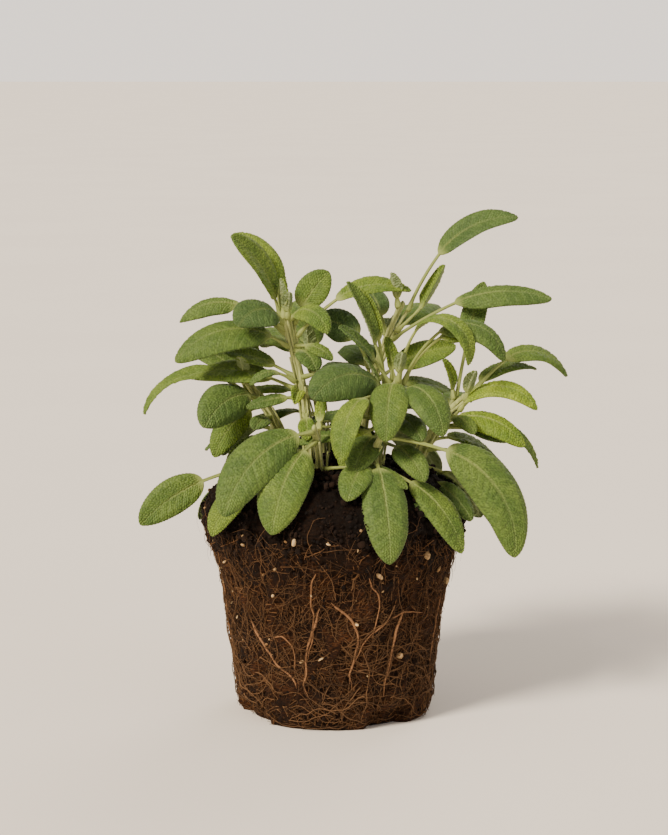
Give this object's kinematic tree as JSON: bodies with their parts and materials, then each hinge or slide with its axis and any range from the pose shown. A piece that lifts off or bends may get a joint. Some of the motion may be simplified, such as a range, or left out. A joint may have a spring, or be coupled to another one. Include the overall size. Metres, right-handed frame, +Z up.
{
  "type": "sage plant with a bare root ball",
  "caption": "Common sage plant knocked out of its pot: a tapered root ball with woody roots, thin stems and long grey-green bumpy leaves.",
  "frame": {"origin": "centre of the root ball's flat base, on the surface that it stands on", "axes": "+Z up along the plant, -Y towards the front, +X to the right"},
  "size_m": [0.2007, 0.1375, 0.2335],
  "materials": {
    "compost": "matte, moist and fibrous",
    "root": "matte bark",
    "stem": "matte, finely hairy",
    "leaf": "soft, bumpy and finely hairy"
  },
  "bodies": {
    "root": {"leaf_arch_front": "leaf", "leaf_arch_rear": "leaf", "leaf_back_centre_low": "leaf", "leaf_back_centre_upper": "leaf", "leaf_back_left_low": "leaf", "leaf_back_left_upper": "leaf", "leaf_back_right_low": "leaf", "leaf_back_right_upper": "leaf", "leaf_centre_broad": "leaf", "leaf_centre_hanging": "leaf", "leaf_centre_shaded": "leaf", "leaf_dark_folded": "leaf", "leaf_far_left": "leaf", "leaf_far_right": "leaf", "leaf_front_centre": "leaf", "leaf_front_left": "leaf", "leaf_front_right": "leaf", "leaf_green_rear": "leaf", "leaf_grey_rear": "leaf", "leaf_left_arch": "leaf", "leaf_left_behind": "leaf", "leaf_left_broad": "leaf", "leaf_left_long": "leaf", "leaf_left_oval": "leaf", "leaf_low_right": "leaf", "leaf_lower_left": "leaf", "leaf_lower_left_rear": "leaf", "leaf_lower_left_small": "leaf", "leaf_mid_left": "leaf", "leaf_mid_left_hanging": "leaf", "leaf_pale_narrow": "leaf", "leaf_right_arch": "leaf", "leaf_right_behind": "leaf", "leaf_right_big": "leaf", "leaf_right_bright": "leaf", "leaf_right_grey": "leaf", "leaf_right_inner": "leaf", "leaf_right_top": "leaf", "leaf_right_top_rear": "leaf", "leaf_right_upper": "leaf", "leaf_right_upper_dark": "leaf", "leaf_right_yellow": "leaf", "leaf_top_left": "leaf", "leaf_top_left_rear": "leaf", "leaf_top_right": "leaf", "leaf_top_right_folded": "leaf", "leaf_upright": "leaf", "root_ball": "compost", "root_centre": "root", "root_centre_left": "root", "root_left": "root", "root_right": "root", "stem_back_left": "stem", "stem_back_right": "stem", "stem_centre_right": "stem", "stem_front_left": "stem", "stem_front_right": "stem", "stem_outer_left": "stem", "stem_outer_right": "stem", "stem_tall_left": "stem"}
  },
  "joints": []
}
